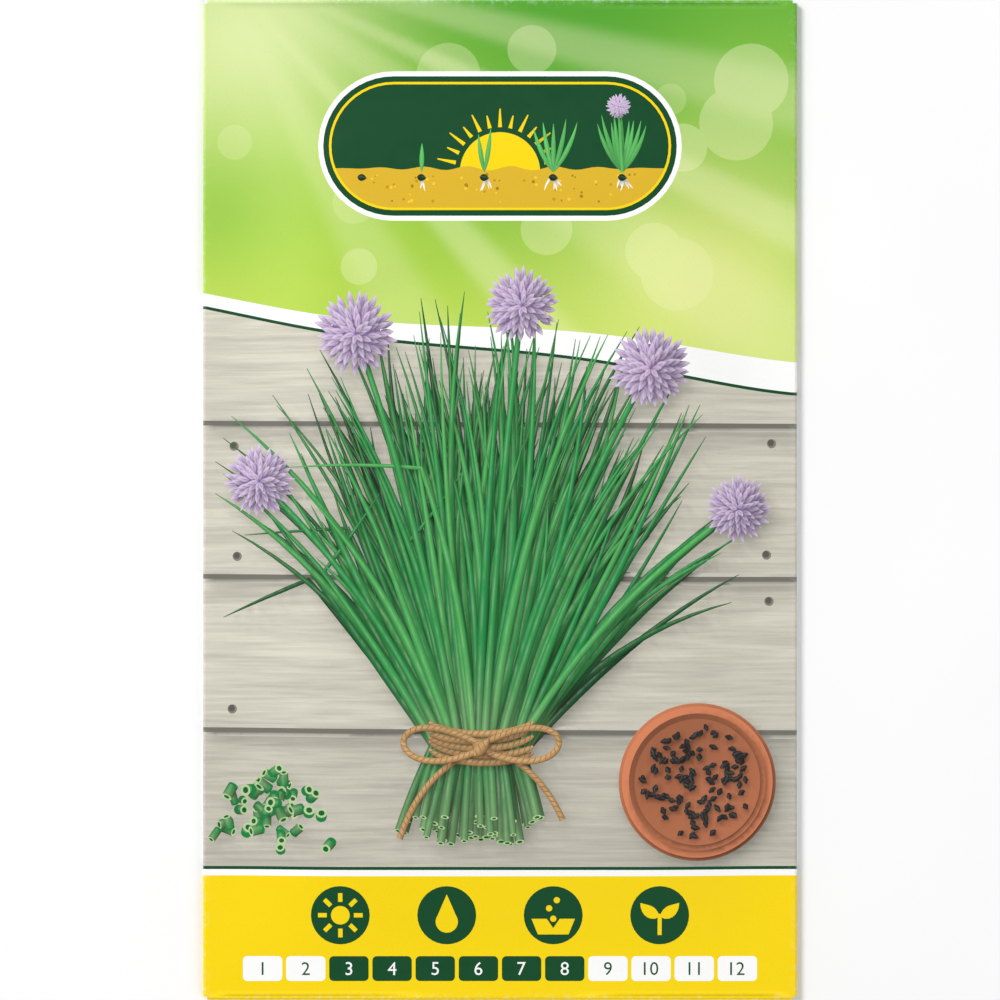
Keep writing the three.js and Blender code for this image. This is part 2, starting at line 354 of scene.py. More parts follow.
class Blade(Flat):
    """A leaf, stalk, petal or cord: a centre line, with a half width and a colour for each point
    or for all of it."""

    raised = True

    def __init__(self, line, half, colours, roundness=1.0):
        self.line = np.asarray(line, float)
        self.half = np.broadcast_to(half, len(line))
        self.colours = np.broadcast_to(colours, (len(line), 3))
        self.roundness = roundness

    def outline(self):
        ahead = unit(np.gradient(self.line, axis=0))
        left = left_of(ahead) * self.half[:, None]
        return np.concatenate([self.line + left, (self.line - left)[::-1]])

    def at(self, p):
        a, d = self.line[:-1], np.diff(self.line, axis=0)
        off = p[:, None] - a[None]
        t = np.clip((off * d).sum(-1) / (d * d).sum(-1), 0, 1)
        off = off - t[..., None] * d
        far = (off * off).sum(-1)
        k = far.argmin(1)
        rows = np.arange(len(p))
        place = k + t[rows, k]
        steps = np.arange(len(self.line))
        left = unit(left_of(d[k]))
        across = (off[rows, k] * left).sum(1) / np.maximum(np.interp(place, steps, self.half), 0.05)
        colour = np.stack([np.interp(place, steps, self.colours[:, c]) for c in range(3)], axis=1)
        return colour, np.clip(across, -1, 1), left @ TO_LIGHT, self.roundness


class Print:
    """Shapes on the flat sheet. Each covers the ones before it."""

    def __init__(self):
        self.rings = []
        self.paints = []

    def add(self, outline, paint):
        """Adds the inside of a ring of points, with a paint or in one colour."""
        ring = np.array(outline, float)
        x, y = ring.T
        area = (x * np.roll(y, -1) - y * np.roll(x, -1)).sum() / 2
        if abs(area) < 1e-3:
            return
        self.rings.append(ring if area > 0 else ring[::-1])
        self.paints.append(Flat(paint) if isinstance(paint, np.ndarray) else paint)

    def blade(self, line, half, colours, roundness=1.0):
        blade = Blade(line, half, colours, roundness)
        self.add(blade.outline(), blade)


def smooth_line(points, count):
    """count + 1 points along the curve with these two to four control points."""
    points = [np.array(p, float) for p in points]
    out = []
    for t in np.linspace(0, 1, count + 1):
        level = points
        while len(level) > 1:
            level = [blend(a, b, t) for a, b in zip(level, level[1:])]
        out.append(level[0])
    return np.array(out)


def circle(x, y, r, count=40, start=0.0, turn=2 * math.pi):
    last = count if turn >= 2 * math.pi else count + 1
    angles = [start + turn * k / count for k in range(last)]
    return [(x + r * math.cos(a), y + r * math.sin(a)) for a in angles]


def rectangle(x0, y0, x1, y1):
    return [(x0, y0), (x1, y0), (x1, y1), (x0, y1)]


def rounded(x0, y0, x1, y1, r):
    """A rectangle with rounded corners."""
    ring = []
    for k, (cx, cy) in enumerate(rectangle(x1 - r, y1 - r, x0 + r, y0 + r)):
        ring += circle(cx, cy, r, 5, k * math.pi / 2, math.pi / 2)
    return ring


def lens(a, b, wide, bow=0.0, steps=7):
    """Centre line and half widths of a pointed leaf from a to b, bowed to its left."""
    a, b = np.array(a, float), np.array(b, float)
    line = smooth_line([a, (a + b) / 2 + left_of(b - a) * bow, b], steps)
    t = np.linspace(0, 1, steps + 1)
    return line, wide * np.sin(math.pi * t ** 0.85) ** 0.9 + 0.02


# The front's fields


def wave(u):
    """Lower edge of the header, and the top and foot of the line below its white band.

    The edge falls from left to right on the front, and climbs to one level on the back.
    """
    x = np.clip(u / FOLD_X, -1, 1)
    swing = np.sin(x * math.pi / 2)
    front = (WAVE_LEFT + WAVE_RIGHT) / 2 + (WAVE_RIGHT - WAVE_LEFT) / 2 * swing
    front = front + 2.2 * np.sin(x * math.pi) * (1 - 0.3 * x)
    behind = rise((np.abs(u) - FOLD_X - 1.2) / 6)
    edge = blend(front, BACK_HEADER, behind)
    band = 3.4 + 1.4 * swing * (1 - behind)
    steep = np.hypot(1, np.gradient(edge, u))
    top = edge - band * np.minimum(steep, 2.2)
    return edge, top, top - 0.5 * steep


def sunbeams(p):
    """How far the beams turn the header's colours to that of sunlight."""
    away = p - (-FOLD_X, FOLD_Y + 8)
    angle = np.degrees(np.arctan2(away[:, 1], away[:, 0]))
    light = sum(share * np.exp(-(1.7 * (angle - turn) / wide) ** 4) for turn, wide, share in BEAMS)
    return (light * rise(np.linalg.norm(away, axis=1) / 50))[:, None]


def header_field(p):
    """Out-of-focus greenery in sunlight. It runs on round the folds without a break."""
    p = fold(p)[:, :2]
    t = np.clip((p[:, :1] * 0.35 + p[:, 1:] - 25) / 55, 0, 1)
    colour = blend(LIME, GRASS, t)
    for x, y, r, shown, share in PATCHES:
        near = share * np.exp(-((p - (x, y)) ** 2).sum(1) / r ** 2)[:, None]
        colour = blend(colour, linear(*shown), near)
    return blend(colour, SUNLIGHT, sunbeams(p))


def board_field(p):
    """Pale weathered boards seen from above, lighter towards the light."""
    t = np.clip((p[:, :1] * 0.3 - p[:, 1:] + 40) / 110, 0, 1)
    plank = np.floor((p[:, 1] - BOARD_GAPS[0]) / (BOARD_GAPS[1] - BOARD_GAPS[0]))[:, None]
    return BOARD * (1.10 - 0.22 * t) * (1 + 0.045 * np.sin(plank * 2.4 + 1))


def tinted(field, toward, share):
    """A field seen through a faint disc of another colour."""
    return Field(lambda p: blend(field(p), toward, share))


def draw_grounds(art, rng):
    """The big fields of colour, over the whole flat sheet."""
    far = SHEET_U + 5
    low, high = SHEET_BOTTOM - 5, SHEET_TOP + 5
    art.add(rectangle(-far, low, far, high), Field(header_field))
    for _ in range(HEADER_DISCS):
        r = rng.uniform(2.2, 6.0)
        x = rng.uniform(-FOLD_X + r + 0.5, FOLD_X - r - 0.5)
        y = rng.uniform(36, FOLD_Y - r - 0.5)
        art.add(circle(x, y, r, 32), tinted(header_field, SUNLIGHT, rng.uniform(0.12, 0.28)))
    us = np.concatenate([spaced(-far, -55, 6), spaced(-54.8, 54.8, 0.4), spaced(55, far, 6)])
    for level, colour in zip(wave(us), (WHITE, INK_GREEN, WHITE)):
        art.add([*zip(us, level), (far, low), (-far, low)], colour)
    draw_boards(art)
    for above, colour in ((1.5, INK_GREEN), (1.0, WHITE), (0.0, YELLOW)):
        art.add(rectangle(-far, low, far, FOOTER + above), colour)


def draw_boards(art):
    """The boards between the header and the footer, with their gaps and nails."""
    side = FOLD_X + SIDE_ARC * 0.5
    us = spaced(-side, side, 1.1)
    art.add([*zip(us, wave(us)[2]), (side, FOOTER), (-side, FOOTER)], Field(board_field, grain=1.0))
    for y in BOARD_GAPS:
        line = [(-side, y + 0.3), (0, y), (side, y - 0.2)]
        art.blade(line, 1.0, board_field(np.array([[0.0, y]]))[0] * 0.86, 0.0)
        art.blade(line, 0.38, BOARD_GAP, 0.0)
    for x, y in NAILS:
        art.add(circle(x, y, 0.75, 16), BOARD_GAP * 1.3)
        art.add(circle(x - 0.1, y + 0.12, 0.52, 14), BOARD_GAP * 0.6)


# The bar with the stages of growth


def draw_leaf(art, a, b, wide, colour, bow=0.0, roundness=0.5):
    line, half = lens(a, b, wide, bow)
    art.blade(line, half, [colour * f for f in np.linspace(0.85, 1.1, len(line))], roundness)


def draw_growth(art, rng, x, y):
    """A dark-green bar in which chives grow from seed to flower, in front of a rising sun."""
    for inward, colour in ((0.0, WHITE), (0.8, INK_GREEN), (1.7, YELLOW), (BAR_RIM, INK_GREEN)):
        r = BAR_RADIUS - inward
        right = circle(x + BAR_HALF, y, r, 24, -math.pi / 2, math.pi)
        art.add(right + circle(x - BAR_HALF, y, r, 24, math.pi / 2, math.pi), colour)
    ground = np.array([x, y + SOIL_LEVEL])
    draw_half_sun(art, ground - (0, 0.6), 6.4)
    draw_soil(art, rng, x, y)
    for k, (dx, leaves, tall) in enumerate(STAGES):
        foot = ground + (dx, -0.7)
        draw_seedling(art, rng, foot, k, leaves, tall)
    # the last one is in flower
    head = foot + (-0.6, tall + 0.6)
    art.blade([foot, head], [0.24, 0.18], LEAF_LIGHT, 0.4)
    draw_flower(art, rng, head, 1.9)


def draw_half_sun(art, middle, r):
    """A rising sun: a half disc and a fan of rays."""
    art.add(circle(*middle, r, 32, 0, math.pi), YELLOW)
    for k in range(13):
        way = heading(math.radians(12 + 13 * k))
        ends = [middle + way * (r + 0.8), middle + way * (r + 3.8 - 0.9 * (k % 2))]
        art.blade(ends, [0.32, 0.1], YELLOW, 0.0)


def draw_soil(art, rng, x, y):
    """The soil in the bar: an uneven surface, crumbs and small stones."""
    inner = BAR_RADIUS - BAR_RIM
    start = math.asin(-SOIL_LEVEL / inner)
    turn = math.pi / 2 - start
    reach = BAR_HALF + inner * math.cos(start)
    ring = circle(x - BAR_HALF, y, inner, 16, math.pi + start, turn)
    ring += circle(x + BAR_HALF, y, inner, 16, 1.5 * math.pi, turn)
    for s in spaced(reach, -reach, 0.9)[1:-1]:
        bump = 0.35 * math.sin(s * 0.9) * math.cos(s / reach * math.pi / 2)
        ring.append((x + s, y + SOIL_LEVEL + bump))
    art.add(ring, SOIL)
    for _ in range(CRUMBS):
        s, deep = rng.uniform(-reach + 3, reach - 3), rng.uniform(0.9, 5.4)
        if abs(s) < BAR_HALF + 6 - deep:
            spot = circle(x + s, y + SOIL_LEVEL - deep, rng.uniform(0.12, 0.3), 7)
            art.add(spot, SOIL * rng.choice((0.5, 0.7, 1.35)))


def draw_seedling(art, rng, foot, stage, leaves, tall):
    """A seed with its roots and leaves. Later stages have more and wider roots."""
    for _ in range(2 * stage):
        tip = foot + (rng.uniform(-0.6, 0.6) * (1 + 0.5 * stage), -rng.uniform(2.0, 3.0))
        draw_leaf(art, foot - (0, 0.5), tip, 0.14, WHITE, rng.uniform(-0.2, 0.2), 0.0)
    for leaf in range(leaves):
        lean = (leaf - (leaves - 1) / 2) * min(16.0, 60 / leaves) + rng.uniform(-2, 2)
        tip = foot + heading(math.radians(90 - lean)) * tall * rng.uniform(0.82, 1.0)
        draw_leaf(art, foot, tip, 0.36, LEAF_LIGHT * rng.uniform(0.85, 1.25), -lean * 0.004, 0.6)
    draw_leaf(art, foot - (0.75, 0.7), foot + (0.75, -0.9), 0.55, INK_GREEN * 0.5)


# The bunch, and what lies beside it


def stem_colours(rng, count, depth):
    """Colours from the pale foot of a chive leaf to its tip. Deeper ones are darker."""
    hue = 0.7 * rng.random() ** 1.5
    body = blend(LEAF_DARK, blend(LEAF_GREEN, LEAF_LIGHT, hue), depth)
    tip = body * (1.12 if rng.random() < 0.85 else 1.0) + linear(0.2, 0.2, 0.0) * rng.random() * 0.5
    foot = body * 0.7 + LEAF_PALE * (0.10 + 0.14 * depth)
    t = np.linspace(0, 1, count)[:, None]
    return blend(blend(foot, body, np.clip(t * 5, 0, 1)), tip, t ** 3)


def draw_bunch(art, rng):
    """A sheaf of chives, tied with twine, with a few open flowers."""
    tie = np.array(TIE)
    for k in range(CORE_LEAVES):
        draw_chive(art, rng, tie, k, 0.1, inner=True)
    for k in range(OUTER_LEAVES):
        draw_chive(art, rng, tie, CORE_LEAVES + k, min(1.0, 0.15 + 0.95 * k / OUTER_LEAVES))
    for seat_x, end, _ in FLOWERS:
        seat = tie + (seat_x, 0)
        end = np.array(end, float)
        middle = (seat + end) / 2 + ((end[0] - seat[0]) * -0.12, 4)
        line = smooth_line([seat, middle, end], STEM_STEPS)
        stalk = np.linspace(0.62, 0.45, STEM_STEPS + 1)
        art.blade(line, stalk, stem_colours(rng, STEM_STEPS + 1, 1.0))
    draw_stems(art, rng, tie)
    draw_twine(art, rng, tie)
    for _, end, size in FLOWERS:
        draw_flower(art, rng, np.array(end), size)


def draw_chive(art, rng, tie, k, depth, inner=False):
    """One leaf of the sheaf. The inner ones are shorter, wider and more upright."""
    spread = max(-1.25, min(1.25, rng.gauss(0, 0.40 if inner else 0.58)))
    side = max(-7.4, min(7.4, spread * 6.6 + rng.uniform(-1.2, 1.2)))
    seat = tie + (side, rng.uniform(-0.8, 0.8))
    way = heading(math.radians(87 - spread * 29 + rng.uniform(-6, 6)))
    reach = rng.uniform(40, 58) if inner else rng.uniform(44, 74) * (1 - 0.20 * abs(spread))
    bend = rng.uniform(-0.20, 0.20) + spread * 0.12
    aside = left_of(way) * bend * reach
    mid = seat + way * reach * 0.55 + aside * 0.22
    end = np.clip(seat + way * reach - aside * 0.6, *LEAF_LIMITS)
    line = smooth_line([seat, mid, end], STEM_STEPS)
    if k % SNAPPED_EVERY == SNAPPED_EVERY - 1:
        line = bent_over(line, rng)
    t = np.linspace(0, 1, STEM_STEPS + 1)
    wide = rng.uniform(0.8, 1.0) if inner else rng.uniform(0.44, 0.74)
    half = wide * (1 - t ** 4) * (0.75 + 0.25 * np.sin(math.pi * np.minimum(t * 1.6, 1))) + 0.05
    art.blade(line, half, stem_colours(rng, STEM_STEPS + 1, depth))


def bent_over(line, rng):
    """The leaf's line with its last third snapped over to one side."""
    a = rng.choice((-1, 1)) * math.radians(rng.uniform(55, 95))
    turn = np.array([heading(a), heading(a + math.pi / 2)])
    kept = line[:9]
    return np.clip(np.concatenate([kept, kept[-1] + (line[9:] - kept[-1]) @ turn]), *LEAF_LIMITS)


def draw_stems(art, rng, tie):
    """The stems below the tie, with their pale cut ends."""
    for k in range(LOWER_STEMS):
        spread = max(-1.1, min(1.1, rng.gauss(0, 0.55)))
        seat = tie + (spread * 6.4, rng.uniform(0, 1.5))
        length = rng.uniform(12, 16.5)
        end = seat + length * heading(math.radians(-90 + spread * 17 + rng.uniform(-4, 4)))
        end[1] = max(end[1], FOOTER + 4)
        line = smooth_line([seat, (seat + end) / 2 + (spread * 0.6, 0), end], 5)
        draw_piece(art, line, rng.uniform(0.5, 0.78), 0.3 + 0.7 * k / LOWER_STEMS)


def oval(centre, way, r, share):
    """A ring of points round the centre, narrowed along one direction."""
    ring = np.array(circle(0, 0, r, 12))
    return ring - np.outer(ring @ way, way) * (1 - share) + centre


def draw_piece(art, line, wide, depth):
    """A length of hollow stem, cut off square where its line ends."""
    t = np.linspace(0, 1, len(line))[:, None]
    body = blend(LEAF_DARK, LEAF_GREEN, depth)
    pale = LEAF_PALE * (0.35 + 0.4 * depth) + LEAF_LIGHT * 0.15
    way = line[-1] - line[0]
    seen = 0.45 if np.linalg.norm(way) > 2 * wide else 0.85
    art.add(oval(line[0], unit(way), wide, seen), body * 0.8)
    art.blade(line, wide, blend(body, body * 0.5 + pale * 0.35, t))
    art.add(oval(line[-1], unit(way), wide * 1.02, seen), pale)
    art.add(oval(line[-1], unit(way), wide * 0.58, seen), body * 0.45)


def draw_chopped(art, rng):
    """Short cut pieces scattered on the boards."""
    for _ in range(CHOPPED_PIECES):
        place = CHOPPED + np.array([9 * rng.gauss(0, 0.5), rng.gauss(0, 3.4)])
        place = np.clip(place, *CHOPPED_LIMITS)
        way = heading(rng.uniform(0, 2 * math.pi)) * rng.uniform(0.5, 2.4)
        line = np.array([place, place + way * 0.5, place + way])
        draw_piece(art, line, rng.uniform(0.62, 0.9), rng.uniform(0.7, 1.0))


def draw_saucer(art, rng, x, y, r):
    """A clay saucer of seeds, seen from above."""

    def sloping(lit, shade):
        def field(p):
            return CLAY * (shade + lit * unit(p - (x, y)) @ TO_LIGHT)[:, None]
        return Field(field, raised=True)

    for share, lit, shade in SAUCER_RINGS:
        art.add(circle(x, y, r * share, 64), sloping(lit, shade))
    for _ in range(SAUCER_SEEDS):
        out, a, turn = r * 0.70 * math.sqrt(rng.random()), rng.uniform(0, 7), rng.uniform(0, math.pi)
        place = out * heading(a) + (x, y)
        way = heading(turn) * rng.uniform(0.55, 0.8)
        tone = SEED * rng.uniform(0.7, 1.5)
        art.blade([place - way, place, place + way], [0.12, rng.uniform(0.42, 0.55), 0.16], tone, 0.5)


def draw_cord(art, line, half=0.5, shade=1.0):
    """A twisted cord, with a darker slanting line between each two twists."""
    half = np.broadcast_to(half, len(line))
    art.blade(line, half, TWINE * shade)
    ahead = unit(np.gradient(line, axis=0))
    run = np.concatenate([[0], np.cumsum(np.linalg.norm(np.diff(line, axis=0), axis=1))])
    for at in np.arange(0.5, run[-1] - 0.2, 0.95):
        *found, wide = (np.interp(at, run, v) for v in (*line.T, *ahead.T, half))
        place, way = np.reshape(found, (2, 2))
        slant = left_of(way) * wide * 0.82 + way * 0.34
        art.blade([place - slant, place + slant], 0.07, TWINE * shade * 0.5, 0.0)


def draw_twine(art, rng, tie):
    """Five turns of twine round the sheaf, its two loose ends and a bow."""

    def route(*points, steps):
        return smooth_line([tie + p for p in points], steps)

    for side, drop in ((-1, 15), (1, 12)):
        draw_cord(art, route((1, -0.5), (side * 9, -3), (side * 13, -drop), steps=12), 0.5, 0.95)
    for k in range(5):
        level = -2.3 + 1.15 * k
        tilt = rng.uniform(-0.5, 0.5)
        ends = [(s * 8.3, level + 1.3 + s * tilt) for s in (-1, 1)]
        turn = route(ends[0], (-5, level - 1.2), (5, level - 1.2), ends[1], steps=16)
        draw_cord(art, turn, 0.55 - 0.3 * np.abs(np.linspace(-1, 1, 17)) ** 6)
    for side in (-1, 1):
        loop = route((0, 0), (side * 17, 9), (side * 16, -8), (0, -0.8), steps=26)
        draw_cord(art, loop[:14], 0.52, 0.95)
        draw_cord(art, loop[13:], 0.52, 1.05)
    for a, b, wide in (((-1.4, 0.7), (1.7, -1.6), 1.2), ((-1.1, -1.8), (1.3, 0.9), 1.0)):
        draw_cord(art, *lens(tie + a, tie + b, wide))


def draw_flower(art, rng, centre, size):
    """A round head of narrow pointed petals with darker ribs, drawn from the rim inwards."""
    art.add(circle(*centre, size * 0.62, 20), PETAL_DEEP * 0.6)
    for share, count, length, wide in PETAL_RINGS:
        for k in range(count):
            way = heading(2 * math.pi * (k + rng.uniform(-0.3, 0.3)) / count + share * 7)
            start = centre + way * size * share
            end = start + way * size * length * rng.uniform(0.85, 1.15) + (0, 0.15)
            lit = 0.5 + 0.8 * float(way @ TO_LIGHT) * share
            light = PETAL * (0.78 + 0.22 * lit)
            tone = blend(light, PETAL_DEEP, 0.45 * share)
            line, half = lens(start, end, wide * size / 6.5, steps=4)
            art.blade(line, half, [PETAL_DEEP, tone, tone, light * 1.05, light * 1.1], 0.6)
            if size > 3:
                rib = [PETAL_DEEP * 0.8, PETAL_DEEP, tone * 0.8]
                art.blade(line[1:4], [0.05, 0.06, 0.03], rib, 0.0)


# The footer and the back


def draw_pictogram(art, kind, x, y, r):
    """A dark-green disc with a yellow sign: sun, rain, sowing or sprout."""
    sign = Flat(YELLOW)

    def at(*points):
        return np.array(points) * r + (x, y)

    art.add(circle(x, y, r, 36), INK_GREEN)
    if kind == "sun":
        art.add(circle(x, y, r * 0.32, 24), sign)
        for k in range(8):
            way = heading(math.pi * k / 4)
            art.blade(at(way * 0.46, way * 0.76), r * 0.075, YELLOW, 0.0)
    if kind == "rain":
        drop = circle(0, -0.22, 0.38, 24, math.radians(-215), math.radians(250))
        art.add(at(*drop, (0, 0.72)), sign)
    if kind == "sowing":
        furrow = [(-0.52, -0.66), (-0.74, -0.12), (-0.22, -0.12), (0, -0.44)]
        art.add(at(*furrow, *[(-dx, dy) for dx, dy in furrow[2::-1]]), sign)
        for dx, dy in ((0, -0.12), (-0.14, 0.24), (0.12, 0.52)):
            art.add(at(*circle(dx, dy, 0.11, 12)), sign)
    if kind == "sprout":
        art.blade(at((0, -0.68), (0, 0.05)), r * 0.07, YELLOW, 0.0)
        for side in (-1, 1):
            line, half = lens(*at((0, -0.05), (side * 0.66, 0.42)), r * 0.2, -0.15 * side)
            art.blade(line, half, YELLOW, 0.0)


def draw_number(art, number, x, y, height, colour):
    """A plain number, as the triangles of a text object."""
    curve = bpy.data.curves.new("number", "FONT")
    curve.body = str(number)
    curve.resolution_u = 3
    holder = place_object("number", curve)
    bpy.context.view_layer.update()
    mesh = holder.evaluated_get(bpy.context.evaluated_depsgraph_get()).to_mesh()
    points = np.array([v.co[:2] for v in mesh.vertices])
    points = (points - (points.min(0) + points.max(0)) / 2) * height / 0.7 + (x, y)
    paint = Flat(colour)
    for face in mesh.polygons:
        art.add(points[list(face.vertices)], paint)
    bpy.data.objects.remove(holder)
    bpy.data.curves.remove(curve)


def draw_months(art, x, y, columns, wide, tall, cut=()):
    """Twelve numbered boxes: dark for the months to sow in, light green for those to cut in."""
    for k in range(12):
        x0 = x + (k % columns) * wide
        y0 = y - (k // columns) * tall
        number = k + 1
        fill = INK_GREEN if number in SOWING_MONTHS else GRASS if number in cut else WHITE
        art.add(rounded(x0 + 0.3, y0 + 0.3, x0 + wide - 0.3, y0 + tall - 0.3, 0.7), fill)
        shade = INK_GREEN if fill is WHITE else WHITE
        draw_number(art, number, x0 + wide / 2, y0 + tall / 2, tall * 0.46, shade)


def draw_footer(art):
    for k, kind in enumerate(("sun", "rain", "sowing", "sprout")):
        draw_pictogram(art, kind, -25.5 + 17 * k, FOOTER - 6.3, 4.7)
    draw_months(art, -41.4, FOOTER - 17.2, 12, 6.9, 4.6)


def draw_rules(art, x0, x1, top, count):
    """Blank ruled lines."""
    for row in range(count):
        y = top - 4.1 * row
        art.add(rectangle(x0, y - 0.12, x1, y + 0.12), GRASS)


def draw_back(art):
    """The back: two panels with step pictures, months, a blank box and blank ruled lines."""
    left, left_end = BACK_U + 6.5, BACK_U + 47.5
    for k, kind in enumerate(("sowing", "rain", "sprout")):
        top = 42.0 - 25.5 * k
        art.add(rounded(left, top - 22, left_end, top, 2.0), BOX_GREEN)
        draw_pictogram(art, kind, left + 11.5, top - 11, 8.0)
        draw_rules(art, left + 22.5, left_end - 3, top - 5.2, 4)
    draw_rules(art, left, left_end, -39.0, 5)
    right, right_end = -BACK_U - 38.5, -BACK_U - 7.3
    draw_months(art, right, 34.0, 3, (right_end - right) / 3, 8.0, (9, 10))
    art.add(rounded(right, -34, right_end, 0, 2.0), INK_GREEN)
    art.add(rounded(right + 0.4, -33.6, right_end - 0.4, -0.4, 1.7), WHITE)
    draw_rules(art, right, right_end, -39.0, 5)
    draw_ruler(art, -BACK_U - 1.6)


def draw_ruler(art, u):
    """A plain centimetre scale up one edge of the back, numbered from 1."""
    for tick in range(1, 20):
        y = FOOTER + 1.5 + 5.0 * tick
        whole = tick % 2 == 0
        art.add(rectangle(u - (2.4 if whole else 1.3), y - 0.1, u, y + 0.1), INK_GREEN)
        if whole:
            draw_number(art, tick // 2, u - 3.8, y, 1.6, INK_GREEN)


def draw_print():
    art = Print()
    rng = random.Random(11)
    draw_grounds(art, rng)
    draw_growth(art, rng, *BAR_MIDDLE)
    draw_chopped(art, rng)
    draw_saucer(art, rng, *SAUCER)
    draw_bunch(art, rng)
    draw_footer(art)
    draw_back(art)
    return art


# From shapes to one layer of triangles


def top_shapes(art):
    """Cuts the crossing shapes apart: points, triangles and the shape on top of each."""
    points, faces = [], []
    for ring in [*art.rings, sheet_outline()]:
        faces.append(list(range(len(points), len(points) + len(ring))))
        points += [Vector(p) for p in ring]
    made = delaunay_2d_cdt(points, [], faces, 1, 1e-5, True)
    sheet = len(art.rings)
    kept, owner = [], []
    for face, came_from in zip(made[2], made[5]):
        if sheet in came_from:
            kept.append(tuple(face))
            owner.append(max(k for k in came_from if k != sheet))
    return made[0], kept, owner


def seen_edges(points, faces, paint_of):
    """The edges where the paint changes, with the needless points on straight runs left out."""
    sides = {}
    for face, paint in zip(faces, paint_of):
        for a, b in zip(face, face[1:] + face[:1]):
            sides.setdefault((min(a, b), max(a, b)), []).append(paint)
    near = {}
    for (a, b), paints in sides.items():
        if len(paints) == 1 or paints[0] is not paints[1]:
            near.setdefault(a, set()).add(b)
            near.setdefault(b, set()).add(a)
    for k in list(near):
        if len(near[k]) != 2:
            continue
        a, b = near[k]
        run = points[b] - points[a]
        off = points[k] - points[a]
        if run.length < 1e-6 or b in near[a] or run.length > LONGEST_EDGE:
            continue
        if abs(run.x * off.y - run.y * off.x) / run.length < 0.006:
            near[a] = near[a] - {k} | {b}
            near[b] = near[b] - {k} | {a}
            del near[k]
    return [(a, b) for a in near for b in near[a] if a < b]


def cut_sheet(edges, edge_points, extra):
    """Triangles of the flat sheet that keep to these edges and use these extra points."""
    index, points, pairs = {}, [], []

    def number(p):
        key = (round(p[0], 6), round(p[1], 6))
        if key not in index:
            index[key] = len(points)
            points.append(Vector(key))
        return index[key]

    for a, b in edges:
        start, end = np.array(edge_points[a]), np.array(edge_points[b])
        run = spaced(0.0, 1.0, LONGEST_EDGE / max(LONGEST_EDGE, np.linalg.norm(end - start)))
        ids = [number(start + (end - start) * t) for t in run]
        pairs += zip(ids, ids[1:])
    for a, b in fold_lines():
        pairs.append((number(a), number(b)))
    for p in extra:
        number(p)
    made = delaunay_2d_cdt(points, pairs, [], 0, 1e-5, False)
    return np.array([p[:] for p in made[0]]), np.array([f[:3] for f in made[2]])


def shape_finder(points, faces, owner):
    """A function that tells which shape shows at a place on the flat sheet, or -1 off it."""
    tree = BVHTree.FromPolygons([(p[0], p[1], 0.0) for p in points], faces)

    def shape_at(x, y):
        hit = tree.ray_cast(Vector((x, y, 1.0)), Vector((0, 0, -1)), 2.0)
        return -1 if hit[2] is None else owner[hit[2]]

    return shape_at


class Shadows:
    """How much of the light reaches each shape, past those that lie over it."""

    STEP = 0.18
    TURNS = (-0.9, -0.45, 0.0, 0.45, 0.9)
    NEAR = ((0.3, 0.5), (0.6, 0.3), (1.0, 0.2))  # how far to look, and its weight
    FAR = ((0.8, 0.3), (1.7, 0.28), (2.8, 0.24), (4.2, 0.18))

    def __init__(self, shape_at, art):
        self.low = np.array([-FOLD_X, FOOTER])
        high = np.array([FOLD_X, 62.0])
        size = np.ceil((high - self.low) / self.STEP).astype(int)
        self.order = np.full(size + 2, -1)
        xs, ys = (low + (np.arange(n) + 0.5) * self.STEP for low, n in zip(self.low, size))
        for i, x in enumerate(xs, 1):
            for j, y in enumerate(ys, 1):
                shape = shape_at(x, y)
                if shape >= 0 and art.paints[shape].raised:
                    self.order[i, j] = shape

    def over(self, p, shape):
        """1 where something that lies over shape shows at p."""
        cell = np.floor((p - self.low) / self.STEP).astype(int) + 1
        i, j = np.clip(cell, 0, np.array(self.order.shape) - 1).T
        return self.order[i, j] > shape

    def light(self, p, shape, raised):
        """Raised shapes get short dark shadows, and the boards long soft ones."""
        total = np.zeros(len(p))
        start = math.atan2(TO_LIGHT[1], TO_LIGHT[0])
        for far, weight in self.NEAR if raised else self.FAR:
            for turn in self.TURNS:
                hidden = self.over(p + heading(start + turn) * far, shape)
                total += weight / len(self.TURNS) * hidden
        return 1 - total * (0.72 if raised else 0.5)


def corner_looks(art, uv, faces, owner, shadows):
    """Colour and form of every corner of every triangle."""
    ink = np.zeros((len(faces), 3, 4))
    form = np.zeros((len(faces), 3, 4))
    order = np.argsort(owner, kind="stable")
    for rows in np.split(order, np.flatnonzero(np.diff(owner[order])) + 1):
        shape = owner[rows[0]]
        paint = art.paints[shape]
        p = uv[faces[rows]].reshape(-1, 2)
        colour, *shape_form = paint.at(p)
        if paint.raised or paint.grain:
            colour = colour * shadows.light(p, shape, paint.raised)[:, None]
        ink[rows, :, :3] = colour.reshape(-1, 3, 3)
        ink[rows, :, 3] = paint.grain
        for channel, value in enumerate(shape_form):
            form[rows, :, channel] = np.broadcast_to(value, len(p)).reshape(-1, 3)
    flat = uv[faces].reshape(-1, 2)
    crest = np.abs(np.abs(flat[:, 0]) - FOLD_X - SIDE_ARC / 2) / SIDE_ARC
    end = np.abs(np.abs(flat[:, 1]) - FOLD_Y - END_ARC / 2) / END_ARC
    form[..., 3] = np.exp(-((np.minimum(crest, end) / 0.42) ** 2)).reshape(-1, 3)
    return ink, form


def rim_loop(faces):
    """The border of a triangulated sheet, in the direction of its faces."""
    sides = {side for a, b, c in faces.tolist() for side in ((a, b), (b, c), (c, a))}
    after = {a: b for a, b in sides if (b, a) not in sides}
    ring = [min(after)]
    while after[ring[-1]] != ring[0]:
        ring.append(after[ring[-1]])
    return ring


